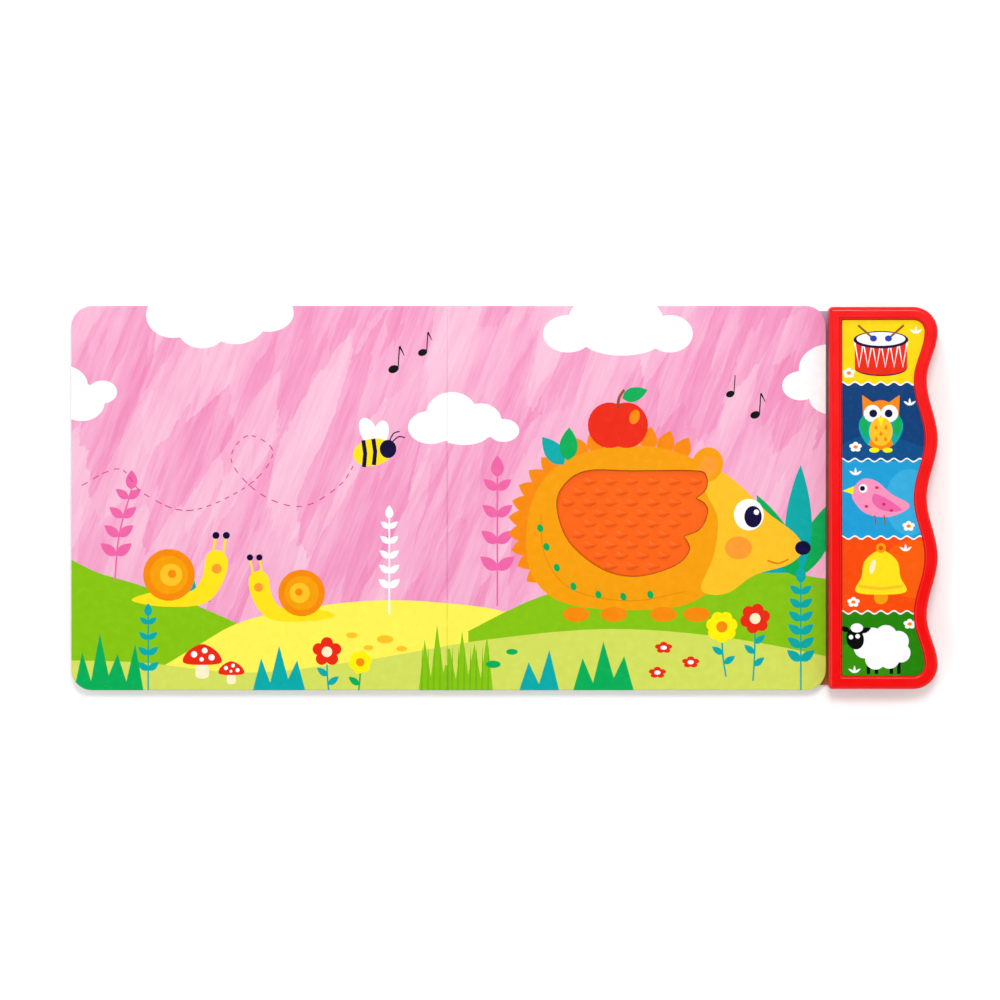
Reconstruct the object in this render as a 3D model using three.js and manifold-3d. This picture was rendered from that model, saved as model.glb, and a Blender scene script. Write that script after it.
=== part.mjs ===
import * as THREE from 'three';
import { mergeVertices } from 'three/addons/utils/BufferGeometryUtils.js';
import Module from 'manifold-3d';

// A children's board book with a five-button sound module along its right edge,
// lying open at its middle spread. Millimetres, +X to the reader's right,
// +Y to the head of the page, +Z up from the table.
// Everything is laid out from the gutter (x = 0) and the middle of the page (y = 0),
// and the finished group is moved so that its origin is the middle of the footprint.

// Pages and covers
const pageHeight = 185;
const leftReach = 181;
const rightReach = 182.2;
const pageCorner = 10;
const coverBoard = 2.5;
const leafBoard = 2.8;
const leafGap = 0.2;
const leavesPerSide = 2;
const leafEdgeGroove = 0.5;
const topSheet = 0.35;
const gutterGap = 0.3;
const spineCard = 0.5;
const glueLine = 0.1;

// Touch pad let into the right-hand page
const padX = 88.9;
const padY = -12.3;
const padWidth = 72.4;
const padHeight = 50.6;
const padBase = 1.5;
const bumpWidth = 3.8;
const bumpLength = 7.4;
const bumpRise = 1.2;
const bumpPitchX = 10.2;
const bumpPitchY = 5.1;
const bumpMargin = 0.3;
const bumpCrown = 0.5;
const bumpFullness = 1.3;

// Sound module
const moduleGap = 1;
const moduleWidth = 52.3;
const moduleEndInset = 0.7;
const moduleTop = 17;
const moduleCorner = 11.7;
const moduleLeftCorner = 1.7;
const leastCorner = 0.8;
const waveDepth = 5.2;
const waveStep = 28.3;
const moduleWall = 1.4;
const rimWidth = 6.1;
const rimRound = 1.3;
const rimBevel = 0.6;
const skirtLift = 0.3;
const bedThickness = 1.4;
const labelFilm = 0.3;
const labelDepth = 1.2;
const fit = 0.3;
const rimTurns = 3;

// Buttons under the label
const zonePitch = 36.6;
const endButtonInset = 21.6;
const capWidth = 25;
const capHeight = 20;
const capCorner = 3;
const capFlange = 1.5;
const flangeThickness = 1.3;
const stemRadius = 3.4;
const capUnderFilm = 0.2;
const domeRadius = 5;
const domeHeight = 1.7;
const domeWall = 0.7;
const domeCrown = 3.2;
const domePlay = 0.2;

// Base plate, circuit board and posts
const plateThickness = 1.6;
const boardWidth = 26;
const boardEndInset = 12.8;
const boardThickness = 1;
const boardBottom = 8;
const postRadius = 1.8;
const postSpread = 20;
const endPostInset = 2.5;
const blobRadius = 4.5;
const blobHeight = 1.5;

// Housing screws
const bossRadius = 3;
const bossInsetLeft = 5.8;
const bossInsetRight = 9.5;
const bossEndInset = 11.8;
const bossPilotDepth = 7.2;
const screwRadius = 1;
const screwLength = 7.5;
const screwHeadRadius = 2.2;
const screwHeadHeight = 0.8;
const screwSlotWidth = 0.6;
const screwSlotDepth = 0.45;

// Speaker
const speakerX = 24;
const speakerEndInset = 49.8;
const speakerRadius = 14;
const speakerHeight = 5.4;
const speakerSheet = 0.6;
const speakerRim = 1.4;
const speakerRimStep = 0.95;
const speakerRimCrest = 1.45;
const cupWall = 2;
const cupFloor = 1.2;
const cupLift = 0.6;
const coneSheet = 0.25;
const coneRise = 0.8;
const yokeRadius = 8.4;
const magnetRadius = 6.2;
const magnetHeight = 2.7;
const coilRadius = 7.2;
const coilWall = 0.5;
const coilEndRoom = 1.8;
const soundHoleRadius = 1.1;
const soundHolePitch = 4.4;
const wireRadius = 0.5;
const wireSpread = 4;
const wireLift = 0.15;

// Battery bay
const bayX = 24;
const bayEndInset = 43.8;
const cellRadius = 5.8;
const cellHeight = 3.1;
const cellPitch = 12;
const cellRoom = 0.4;
const cellCount = 3;
const bayWall = 1.4;
const bayCeiling = 1;
const bayLift = 0.4;
const doorLedge = 1.6;
const doorThickness = 1;
const screwLand = 6.5;
const doorScrewRoom = 1;
const contactRoom = 1.2;
const contactSheet = 0.2;
const contactWidth = 8;
const tabWidth = 4;
const tongueWidth = 6;
const tongueReach = 0.9;
const tongueThickness = 0.6;
const doorCorner = 1;
const cellEdge = 0.5;

// Facet counts
const cornerSteps = 6;
const smallCornerSteps = 3;
const waveSamples = 54;
const bumpSamples = 8;
const padSteps = 5;
const roundSteps = 24;
const postSteps = 8;
const wireSteps = 12;
const blobSteps = 3;

// How far a cutting tool runs on past the face that it cuts
const past = 1;

// Heights and places worked out from the sizes above. The module is as tall as the page, less
// an inset at each end, and what it holds keeps its distance from its ends.
const moduleHeight = pageHeight - 2 * moduleEndInset;
const endButtonY = moduleHeight / 2 - endButtonInset;
const innerPostY = zonePitch / 2;
const outerPostY = (zonePitch + endButtonY) / 2;
const blobY = zonePitch / 2;
const boardLength = moduleHeight - 2 * boardEndInset;
const endPostY = boardLength / 2 - endPostInset;
const bossY = moduleHeight / 2 - bossEndInset;
const speakerY = moduleHeight / 2 - speakerEndInset;
const bayY = bayEndInset - moduleHeight / 2;
const pageTop = coverBoard + leavesPerSide * (leafBoard + leafGap);
const crease = gutterGap / 2;
const spineBack = crease + spineCard + glueLine;
const moduleLeft = rightReach + moduleGap;
const moduleRight = moduleLeft + moduleWidth;
const waveEnd = moduleHeight / 2 - moduleCorner;
const cardInset = moduleWall + fit;
const cardHalf = moduleHeight / 2 - cardInset;
const filmTop = moduleTop - labelDepth;
const bedTop = filmTop - labelFilm - glueLine;
const bedUnder = bedTop - bedThickness;
const plateBottom = coverBoard + glueLine;
const plateTop = plateBottom + plateThickness;
const boardX = moduleLeft + bayX;
const boardTop = boardBottom + boardThickness;
const cellBottom = bayLift + doorThickness + 2 * glueLine + contactSheet;
const cellTop = cellBottom + cellHeight;
const speakerZ = cupLift + cupFloor + glueLine;
const bayTop = cellTop + 2 * glueLine + contactSheet;
const footprintCentre = (moduleRight - leftReach) / 2;

const wasm = await Module();
wasm.setup();

function toSolid(geometry) {
  const bare = geometry.clone();
  bare.deleteAttribute('normal');
  bare.deleteAttribute('uv');
  const merged = mergeVertices(bare, 1e-4);
  const vertProperties = new Float32Array(merged.attributes.position.array);
  const triVerts = new Uint32Array(merged.index.array);
  return new wasm.Manifold(new wasm.Mesh({ numProp: 3, vertProperties, triVerts }));
}

function toGeometry(solid) {
  const mesh = solid.getMesh();
  const geometry = new THREE.BufferGeometry();
  geometry.setAttribute('position', new THREE.BufferAttribute(mesh.vertProperties, 3));
  geometry.setIndex(new THREE.BufferAttribute(mesh.triVerts, 1));
  return geometry;
}

function join(...geometries) {
  const solids = geometries.map(toSolid);
  return toGeometry(solids.reduce((sum, solid) => sum.add(solid)));
}

function cut(geometry, ...tools) {
  const solids = tools.map(toSolid);
  return toGeometry(solids.reduce((rest, tool) => rest.subtract(tool), toSolid(geometry)));
}

function at(geometry, x, y, z = 0) {
  return geometry.clone().translate(x, y, z);
}

function box(x0, x1, y0, y1, z0, z1) {
  const geometry = new THREE.BoxGeometry(x1 - x0, y1 - y0, z1 - z0);
  return geometry.translate((x0 + x1) / 2, (y0 + y1) / 2, (z0 + z1) / 2);
}

function cylinder(radius, z0, z1, steps = roundSteps) {
  const geometry = new THREE.CylinderGeometry(radius, radius, z1 - z0, steps);
  return geometry.rotateX(Math.PI / 2).translate(0, 0, (z0 + z1) / 2);
}

// A profile of [radius, height] pairs turned about the Z axis, counter-clockwise with the
// axis on its left.
function turned(profile, steps = roundSteps) {
  const points = profile.map(([radius, height]) => new THREE.Vector2(radius, height));
  return new THREE.LatheGeometry(points, steps).rotateX(Math.PI / 2);
}

// A solid through a stack of outlines with equal point counts, lowest ring first.
function loft(rings) {
  const count = rings[0].points.length;
  const positions = rings.flatMap(({ points, z }) => points.flatMap((p) => [p.x, p.y, z]));
  const triangles = [];
  for (let ring = 0; ring + 1 < rings.length; ring += 1) {
    for (let i = 0; i < count; i += 1) {
      const a = ring * count + i;
      const b = ring * count + (i + 1) % count;
      triangles.push(a, b, b + count, a, b + count, a + count);
    }
  }
  const top = (rings.length - 1) * count;
  for (const [a, b, c] of THREE.ShapeUtils.triangulateShape(rings[0].points, [])) {
    triangles.push(c, b, a);
  }
  for (const [a, b, c] of THREE.ShapeUtils.triangulateShape(rings[rings.length - 1].points, [])) {
    triangles.push(top + a, top + b, top + c);
  }
  const geometry = new THREE.BufferGeometry();
  geometry.setAttribute('position', new THREE.Float32BufferAttribute(positions, 3));
  geometry.setIndex(triangles);
  return geometry;
}

function prism(points, z0, z1) {
  return loft([{ points, z: z0 }, { points, z: z1 }]);
}

function addArc(points, x, y, radius, from, to, steps) {
  for (let i = 0; i <= steps; i += 1) {
    const angle = from + (to - from) * i / steps;
    points.push(new THREE.Vector2(x + radius * Math.cos(angle), y + radius * Math.sin(angle)));
  }
}

function roundedRect(width, height, radius) {
  const x = width / 2 - radius;
  const y = height / 2 - radius;
  const quarter = Math.PI / 2;
  const points = [];
  addArc(points, x, -y, radius, -quarter, 0, smallCornerSteps);
  addArc(points, x, y, radius, 0, quarter, smallCornerSteps);
  addArc(points, -x, y, radius, quarter, 2 * quarter, smallCornerSteps);
  addArc(points, -x, -y, radius, 2 * quarter, 3 * quarter, smallCornerSteps);
  return points;
}

// One side of the open book seen from above: +1 for the right side, -1 for the left.
function sideOutline(side, gutter, inset = 0) {
  const half = pageHeight / 2 - inset;
  const edge = (side > 0 ? rightReach : leftReach) - inset;
  const radius = pageCorner - inset;
  const quarter = Math.PI / 2;
  const points = [new THREE.Vector2(gutter, -half)];
  addArc(points, edge - radius, radius - half, radius, -quarter, 0, cornerSteps);
  addArc(points, edge - radius, half - radius, radius, 0, quarter, cornerSteps);
  points.push(new THREE.Vector2(gutter, half));
  if (side > 0) return points;
  return points.map((p) => new THREE.Vector2(-p.x, p.y)).reverse();
}

// The waved right edge: -1 in a dip, +1 on a bulge, with a shorter wave into each corner.
function waveAt(y) {
  const reach = Math.min(Math.abs(y), waveEnd);
  const regular = 2 * waveStep;
  if (reach <= regular) return -Math.cos(Math.PI * reach / waveStep);
  return -Math.cos(Math.PI * (reach - regular) / (waveEnd - regular));
}

function moduleOutline(inset = 0) {
  const half = moduleHeight / 2 - inset;
  const left = moduleLeft + inset;
  const right = moduleRight - inset;
  const radius = Math.max(moduleCorner - inset, leastCorner);
  const leftRadius = Math.max(moduleLeftCorner - inset, leastCorner);
  const quarter = Math.PI / 2;
  const end = half - radius;
  const points = [];
  addArc(points, left + leftRadius, leftRadius - half, leftRadius, 2 * quarter, 3 * quarter,
    smallCornerSteps);
  addArc(points, right - radius, -end, radius, -quarter, 0, cornerSteps);
  for (let i = 1; i < waveSamples; i += 1) {
    const y = end * (2 * i / waveSamples - 1);
    points.push(new THREE.Vector2(right - waveDepth * (1 - waveAt(y)) / 2, y));
  }
  addArc(points, right - radius, end, radius, 0, quarter, cornerSteps);
  addArc(points, left + leftRadius, half - leftRadius, leftRadius, quarter, 2 * quarter,
    smallCornerSteps);
  return points;
}

// The pad seen from above, like a folded wing: two curves that meet in two sharp notches on the
// right. Their points are shares of the pad's width and height from its lower left corner.
const upperNotch = [0.92, 0.74];
const lowerNotch = [0.84, 0.38];
const padCurves = [
  [upperNotch, [0.99, 0.83], [0.99, 0.95], [0.92, 1], [0.5, 1], [0.2, 1], [0.05, 0.87], [0, 0.66],
    [0.08, 0.33], [0.3, 0.07], [0.53, 0], [0.78, 0.1], [0.88, 0.25], lowerNotch],
  [lowerNotch, [0.95, 0.45], [1, 0.6], [0.98, 0.69], upperNotch],
];

function padOutline(grow = 0) {
  const outline = padCurves.flatMap((curve) => {
    const points = curve.map(([across, up]) => new THREE.Vector2(
      padX + (across - 1 / 2) * padWidth,
      padY + (up - 1 / 2) * padHeight,
    ));
    return new THREE.SplineCurve(points).getPoints(padSteps * (points.length - 1)).slice(0, -1);
  });
  const section = new wasm.CrossSection([outline.map((p) => [p.x, p.y])]);
  const [grown] = section.offset(grow, 'Miter').toPolygons();
  return grown.map(([x, y]) => new THREE.Vector2(x, y));
}

function isInside(outline, x, y) {
  let inside = false;
  outline.forEach((p, i) => {
    const q = outline[(i + 1) % outline.length];
    if ((p.y > y) !== (q.y > y) && x < p.x + (q.x - p.x) * (y - p.y) / (q.y - p.y)) {
      inside = !inside;
    }
  });
  return inside;
}

function pages(side) {
  const bottom = coverBoard + leafGap;
  const solids = [
    prism(sideOutline(side, spineBack, leafEdgeGroove), bottom, pageTop - topSheet / 2),
    prism(sideOutline(side, crease), pageTop - topSheet, pageTop),
  ];
  for (let leaf = 0; leaf < leavesPerSide; leaf += 1) {
    const z = bottom + leaf * (leafBoard + leafGap);
    solids.push(prism(sideOutline(side, spineBack), z, z + leafBoard));
  }
  return join(...solids);
}

function rightPages() {
  const window = prism(padOutline(fit), pageTop - leafBoard, pageTop + past);
  return cut(pages(1), window);
}

// A cover board with its half of the spine, which stands against the backs of the leaves.
function coverWithSpine(side) {
  const spineTop = pageTop - topSheet - glueLine;
  const near = side * crease;
  const far = side * (crease + spineCard);
  return join(
    prism(sideOutline(side, crease), 0, coverBoard),
    box(Math.min(near, far), Math.max(near, far), -pageHeight / 2, pageHeight / 2, 0, spineTop),
  );
}

// The back cover runs on under the module as a tongue inside the module's skirt.
function backCover() {
  const neck = box(rightReach / 2, moduleLeft + cardInset + moduleLeftCorner, -cardHalf, cardHalf,
    0, coverBoard);
  const tongue = prism(moduleOutline(cardInset), 0, coverBoard);
  const bay = prism(roundedRect(bayOuter.width + 2 * fit, bayOuter.length + 2 * fit, doorCorner),
    -past, coverBoard + past);
  const cup = cylinder(speakerRadius + cupWall + 2 * fit, -past, coverBoard + past,
    2 * roundSteps);
  return cut(
    join(coverWithSpine(1), neck, tongue),
    at(bay, moduleLeft + bayX, bayY),
    at(cup, moduleLeft + speakerX, speakerY),
  );
}

// A teardrop that lies along X, with its point to the right.
function bumpOutline(scale) {
  const points = [];
  for (let i = 0; i < bumpSamples; i += 1) {
    const angle = 2 * Math.PI * (i + 0.5) / bumpSamples;
    const taper = Math.abs(Math.sin(angle / 2));
    points.push(new THREE.Vector2(
      scale * bumpLength / 2 * Math.cos(angle),
      scale * bumpWidth / 2 * Math.sin(angle) * taper * bumpFullness,
    ));
  }
  return points;
}

function touchPad() {
  const bottom = pageTop - leafBoard + glueLine;
  const top = bottom + padBase;
  const solids = [prism(padOutline(), bottom, top)];
  const bump = loft([
    { points: bumpOutline(1), z: top - bumpRise / 4 },
    { points: bumpOutline(bumpCrown), z: top + bumpRise },
  ]);
  const field = padOutline(-bumpMargin);
  const rows = Math.ceil(padHeight / bumpPitchY);
  const columns = Math.ceil(padWidth / bumpPitchX);
  for (let row = -rows; row <= rows; row += 1) {
    for (let column = -columns; column <= columns; column += 1) {
      const x = padX + (column + Math.abs(row % 2) / 2) * bumpPitchX;
      const y = padY + row * bumpPitchY;
      const isClear = bumpOutline(1).every((p) => isInside(field, x + p.x, y + p.y));
      if (isClear) solids.push(at(bump, x, y));
    }
  }
  return join(...solids);
}

const buttonY = [endButtonY, zonePitch, 0, -zonePitch, -endButtonY];

function bossPlaces() {
  const left = moduleLeft + bossInsetLeft;
  const right = moduleRight - bossInsetRight;
  return [[left, bossY], [right, bossY], [left, -bossY], [right, -bossY]];
}

function postPlaces(...heights) {
  const sides = [-postSpread / 2, postSpread / 2];
  return heights.flatMap((y) => sides.flatMap((x) => [[boardX + x, y], [boardX + x, -y]]));
}

function moduleHousing() {
  const shell = [{ points: moduleOutline(), z: skirtLift }];
  for (let i = 0; i <= rimTurns; i += 1) {
    const angle = Math.PI / 2 * i / rimTurns;
    shell.push({
      points: moduleOutline(rimRound * (1 - Math.cos(angle))),
      z: moduleTop - rimRound * (1 - Math.sin(angle)),
    });
  }
  const window = loft([
    { points: moduleOutline(rimWidth), z: bedTop },
    { points: moduleOutline(rimWidth), z: moduleTop - rimBevel },
    { points: moduleOutline(rimWidth - rimBevel), z: moduleTop },
    { points: moduleOutline(rimWidth - rimBevel), z: moduleTop + past },
  ]);
  const cavity = prism(moduleOutline(moduleWall), -past, bedUnder);
  const cardSlot = box(moduleLeft - past, moduleLeft + 2 * moduleWall, -cardHalf - fit,
    cardHalf + fit, -past, coverBoard + fit);
  const hole = prism(roundedRect(capWidth + 2 * fit, capHeight + 2 * fit, capCorner + fit),
    bedUnder - past, bedTop + past);
  const hollow = cut(loft(shell), window, cavity, cardSlot,
    ...buttonY.map((y) => at(hole, boardX, y)));
  const boss = cylinder(bossRadius, plateTop + fit, bedUnder + bedThickness / 2, 2 * postSteps);
  const pilot = cylinder(screwRadius + glueLine, plateTop, plateTop + bossPilotDepth);
  const post = cylinder(postRadius, boardTop + fit, bedUnder + bedThickness / 2, postSteps);
  return cut(
    join(
      hollow,
      ...bossPlaces().map(([x, y]) => at(boss, x, y)),
      ...postPlaces(innerPostY, outerPostY).map(([x, y]) => at(post, x, y)),
    ),
    ...bossPlaces().map(([x, y]) => at(pilot, x, y)),
  );
}

// Length and width of the battery bay, from its cavity for the cells outwards.
const bayCavity = {
  width: 2 * (cellRadius + cellRoom),
  length: (cellCount - 1) * cellPitch + 2 * (cellRadius + cellRoom) + contactRoom,
};
const bayPocket = {
  width: bayCavity.width + 2 * doorLedge,
  length: bayCavity.length + 2 * doorLedge + screwLand,
};
const bayOuter = {
  width: bayPocket.width + 2 * bayWall,
  length: bayPocket.length + 2 * bayWall,
};
const cavityY = bayY - screwLand / 2;
const cavityFoot = cavityY - bayCavity.length / 2;
const cellY = (index) => cavityFoot + contactRoom + cellRoom + cellRadius + index * cellPitch;
const doorScrewY = bayY + bayPocket.length / 2 - screwLand / 2;
const tabY = {
  negative: cavityFoot + contactRoom / 2,
  positive: cellY(cellCount - 1) + cellRadius - contactRoom,
};

function centredBox(width, length, x, y, z0, z1) {
  return box(x - width / 2, x + width / 2, y - length / 2, y + length / 2, z0, z1);
}

function soundHoles() {
  const hole = cylinder(soundHoleRadius, cupLift - past, cupLift + cupFloor + past, postSteps);
  const holes = [hole];
  for (let ring = 1; ring <= 2; ring += 1) {
    for (let i = 0; i < 6 * ring; i += 1) {
      const angle = Math.PI * i / (3 * ring);
      const reach = ring * soundHolePitch;
      holes.push(at(hole, reach * Math.cos(angle), reach * Math.sin(angle)));
    }
  }
  return holes.map((geometry) => at(geometry, moduleLeft + speakerX, speakerY));
}

function moduleBase() {
  const x = moduleLeft + bayX;
  const ceilingTop = bayTop + bayCeiling;
  const cupTop = cupLift + cupFloor;
  const plate = prism(moduleOutline(moduleWall + fit), plateBottom, plateTop);
  const bay = centredBox(bayOuter.width, bayOuter.length, x, bayY, bayLift, ceilingTop);
  const cup = at(cylinder(speakerRadius + cupWall, cupLift, plateTop, 2 * roundSteps),
    moduleLeft + speakerX, speakerY);
  const post = cylinder(postRadius, plateTop - plateThickness / 2, boardBottom - glueLine,
    postSteps);
  const posts = postPlaces(innerPostY, endPostY).map(([px, py]) => at(post, px, py));
  const ledgeZ = bayLift + doorThickness + 2 * glueLine;
  const pocket = centredBox(bayPocket.width, bayPocket.length, x, bayY, bayLift - past,
    ledgeZ);
  const cavity = centredBox(bayCavity.width, bayCavity.length, x, cavityY, 0, bayTop);
  const tongueSlot = centredBox(tongueWidth + 2 * fit, 2 * (tongueReach + fit), x,
    bayY - bayPocket.length / 2, ledgeZ - tongueThickness - 2 * fit, ledgeZ);
  const tabSlots = [tabY.negative, tabY.positive].map((y) => centredBox(tabWidth + 2 * fit,
    contactSheet + 2 * fit, x, y, bayTop - past, ceilingTop + past));
  const doorPilot = at(cylinder(screwRadius + glueLine, 0, bayTop), x, doorScrewY);
  const speakerSeat = at(cylinder(speakerRadius + fit, cupTop, plateTop + past, 2 * roundSteps),
    moduleLeft + speakerX, speakerY);
  const clearHole = cylinder(screwRadius + fit, plateBottom - past, plateTop + past);
  const headRoom = cylinder(screwHeadRadius + fit, plateBottom - past,
    plateBottom + screwHeadHeight + fit);
  return cut(
    join(plate, bay, cup, ...posts),
    pocket,
    cavity,
    tongueSlot,
    ...tabSlots,
    doorPilot,
    speakerSeat,
    ...soundHoles(),
    ...bossPlaces().flatMap(([px, py]) => [at(clearHole, px, py), at(headRoom, px, py)]),
  );
}

function buttonLabel() {
  const outline = moduleOutline(rimWidth + fit);
  return prism(outline, filmTop - labelFilm, filmTop);
}

// A button cap from its stem up: stem, flange under the bed, then the pad through the bed.
function buttonCap() {
  const flange = roundedRect(capWidth + 2 * capFlange, capHeight + 2 * capFlange, capCorner);
  const pad = roundedRect(capWidth, capHeight, capCorner);
  const flangeTop = bedUnder - fit;
  const flangeBottom = flangeTop - flangeThickness;
  const stem = flange.map((p) => p.clone().setLength(stemRadius));
  return loft([
    { points: stem, z: boardTop + glueLine + domeHeight + domePlay },
    { points: stem, z: flangeBottom },
    { points: flange, z: flangeBottom },
    { points: flange, z: flangeTop },
    { points: pad, z: flangeTop },
    { points: pad, z: bedTop - capUnderFilm + glueLine },
  ]);
}

// A hollow rubber dome, open towards the circuit board.
function contactDome() {
  return turned([
    [0, domeHeight - domeWall],
    [domeCrown - domeWall, domeHeight - domeWall],
    [domeRadius - domeWall, 0],
    [domeRadius, 0],
    [domeRadius, domeWall],
    [domeCrown, domeHeight],
    [0, domeHeight],
  ], roundSteps / 2);
}

function circuitBoard() {
  return centredBox(boardWidth, boardLength, 0, 0, 0, boardThickness);
}

function chipBlob() {
  const profile = [[0, 0]];
  for (let i = 0; i < blobSteps; i += 1) {
    const angle = Math.PI / 2 * i / blobSteps;
    profile.push([blobRadius * Math.cos(angle), blobHeight * Math.sin(angle)]);
  }
  profile.push([0, blobHeight]);
  return turned(profile, roundSteps / 2);
}

// The steel basket and yoke, with its rim down on the floor of its cup.
function speakerFrame() {
  const sheet = speakerSheet;
  const rim = speakerRadius - speakerRim;
  const back = speakerHeight - sheet;
  return turned([
    [0, back],
    [yokeRadius - sheet, back],
    [yokeRadius - sheet, speakerHeight / 2],
    [rim - sheet, speakerRimStep],
    [rim, 0],
    [speakerRadius, 0],
    [speakerRadius, speakerRimStep],
    [rim, speakerRimCrest],
    [yokeRadius, speakerHeight / 2 + sheet],
    [yokeRadius, speakerHeight],
    [0, speakerHeight],
  ]);
}

function speakerCone() {
  const rim = speakerRadius - speakerRim - fit;
  return turned([
    [0, coneRise],
    [coilRadius - coilWall, coneRise],
    [rim, glueLine],
    [rim, glueLine + coneSheet],
    [coilRadius, coneRise + coneSheet],
    [0, coneRise + coneSheet],
  ]);
}

function voiceCoil() {
  const bottom = coneRise + coneSheet + glueLine;
  const top = speakerHeight - coilEndRoom;
  return turned([
    [coilRadius, bottom],
    [coilRadius, top],
    [coilRadius - coilWall, top],
    [coilRadius - coilWall, bottom],
    [coilRadius, bottom],
  ]);
}

function speakerMagnet() {
  const top = speakerHeight - speakerSheet - glueLine;
  return cylinder(magnetRadius, top - magnetHeight, top);
}

// One speaker lead, up out of the cup and over its wall to the underside of the board.
function speakerWire(side) {
  const x = moduleLeft + speakerX + side * wireSpread / 2;
  const rimTop = speakerZ + speakerRimCrest;
  const cupEdge = speakerY - speakerRadius - cupWall;
  const overWall = plateTop + 2 * wireRadius;
  const route = new THREE.CatmullRomCurve3([
    new THREE.Vector3(x, cupEdge + cupWall + 2 * wireRadius, rimTop + wireRadius + wireLift),
    new THREE.Vector3(x, cupEdge + cupWall, overWall),
    new THREE.Vector3(x, cupEdge, overWall + wireRadius),
    new THREE.Vector3(x, cupEdge - 4 * wireRadius, overWall + 2 * wireRadius),
    new THREE.Vector3(x, cupEdge - 6 * wireRadius, boardBottom - fit),
  ]);
  const section = new THREE.Shape();
  section.absarc(0, 0, wireRadius, 0, 2 * Math.PI);
  return new THREE.ExtrudeGeometry(section, {
    steps: wireSteps,
    curveSegments: postSteps / 2,
    extrudePath: route,
  });
}

function buttonCell() {
  return turned([
    [0, 0],
    [cellRadius, 0],
    [cellRadius, cellHeight - cellEdge],
    [cellRadius - cellEdge, cellHeight],
    [0, cellHeight],
  ]);
}

// A flat strip across two neighbouring cells.
function contactLink(first, z) {
  const y = (cellY(first) + cellY(first + 1)) / 2;
  return centredBox(contactWidth, cellPitch + contactWidth, moduleLeft + bayX, y, z,
    z + contactSheet);
}

// A strip on one cell with a tab that stands up through the ceiling to the board.
function contactWithTab(index, z, tab) {
  const x = moduleLeft + bayX;
  const y = cellY(index);
  const low = Math.min(y - contactWidth / 2, tab - contactSheet / 2);
  const high = Math.max(y + contactWidth / 2, tab + contactSheet / 2);
  return join(
    box(x - contactWidth / 2, x + contactWidth / 2, low, high, z, z + contactSheet),
    centredBox(tabWidth, contactSheet, x, tab, z, boardBottom - fit),
  );
}

function batteryDoor() {
  const x = moduleLeft + bayX;
  const top = bayLift + doorThickness;
  const width = bayPocket.width - 2 * fit;
  const length = bayPocket.length - 2 * fit;
  const plate = at(prism(roundedRect(width, length, doorCorner), bayLift, top), x, bayY);
  const tongue = centredBox(tongueWidth, 2 * (tongueReach + fit), x, bayY - length / 2,
    top - tongueThickness, top);
  const hole = at(cylinder(screwRadius + glueLine, 0, top + past), x, doorScrewY);
  const headRoom = at(cylinder(screwHeadRadius + glueLine, 0,
    bayLift + screwHeadHeight - glueLine), x, doorScrewY);
  return cut(join(plate, tongue), hole, headRoom);
}

// A cross-head screw with its head down. The length takes in the head.
function screw(length, headHeight) {
  const slot = screwHeadRadius;
  const body = turned([
    [0, 0],
    [screwHeadRadius, 0],
    [screwHeadRadius, headHeight],
    [screwRadius, headHeight],
    [screwRadius, length - screwRadius],
    [screwRadius / 3, length],
    [0, length],
  ], roundSteps / 2);
  return cut(
    body,
    centredBox(slot, screwSlotWidth, 0, 0, -past, screwSlotDepth),
    centredBox(screwSlotWidth, slot, 0, 0, -past, screwSlotDepth),
  );
}

function finish(color, roughness, metalness = 0) {
  return new THREE.MeshStandardMaterial({ color, roughness, metalness });
}

const red = 0xfb1e10;
const book = new THREE.Group();

function add(name, geometry, material, x = 0, y = 0, z = 0) {
  const flat = geometry.index ? geometry.toNonIndexed() : geometry;
  flat.computeVertexNormals();
  const mesh = new THREE.Mesh(flat, material);
  mesh.name = name;
  mesh.position.set(x, y, z);
  book.add(mesh);
}

add('front_cover', coverWithSpine(-1), finish(0xf58ab8, 0.45));
add('pages_left', pages(-1), finish(0xf99cc6, 0.4));
add('back_cover', backCover(), finish(0xe79a4c, 0.45));
add('pages_right', rightPages(), finish(0xf99cc6, 0.4));
add('touch_pad', touchPad(), finish(0xff6a13, 0.7));

add('module_housing', moduleHousing(), finish(red, 0.25));
add('module_base', moduleBase(), finish(red, 0.35));
add('button_label', buttonLabel(), finish(0x1ea8e4, 0.3));
buttonY.forEach((y, index) => {
  add(`button_cap_${index + 1}`, buttonCap(), finish(0xf2f0ea, 0.4), boardX, y);
  add(`contact_dome_${index + 1}`, contactDome(), finish(0xd8d8d4, 0.6), boardX, y,
    boardTop + glueLine);
});

add('circuit_board', circuitBoard(), finish(0x2c7a3f, 0.5), boardX, 0, boardBottom);
add('chip_blob', chipBlob(), finish(0x151515, 0.4), boardX, blobY, boardTop + glueLine);

add('speaker_frame', speakerFrame(), finish(0x8e9296, 0.35, 0.9), moduleLeft + speakerX,
  speakerY, speakerZ);
add('speaker_cone', speakerCone(), finish(0xe8e4d8, 0.5), moduleLeft + speakerX, speakerY,
  speakerZ);
add('voice_coil', voiceCoil(), finish(0xb5652a, 0.4, 0.8), moduleLeft + speakerX, speakerY,
  speakerZ);
add('speaker_magnet', speakerMagnet(), finish(0x6f7378, 0.4, 0.8), moduleLeft + speakerX,
  speakerY, speakerZ);
add('speaker_wire_red', speakerWire(-1), finish(0xc8201a, 0.5));
add('speaker_wire_black', speakerWire(1), finish(0x1b1b1d, 0.5));

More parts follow.
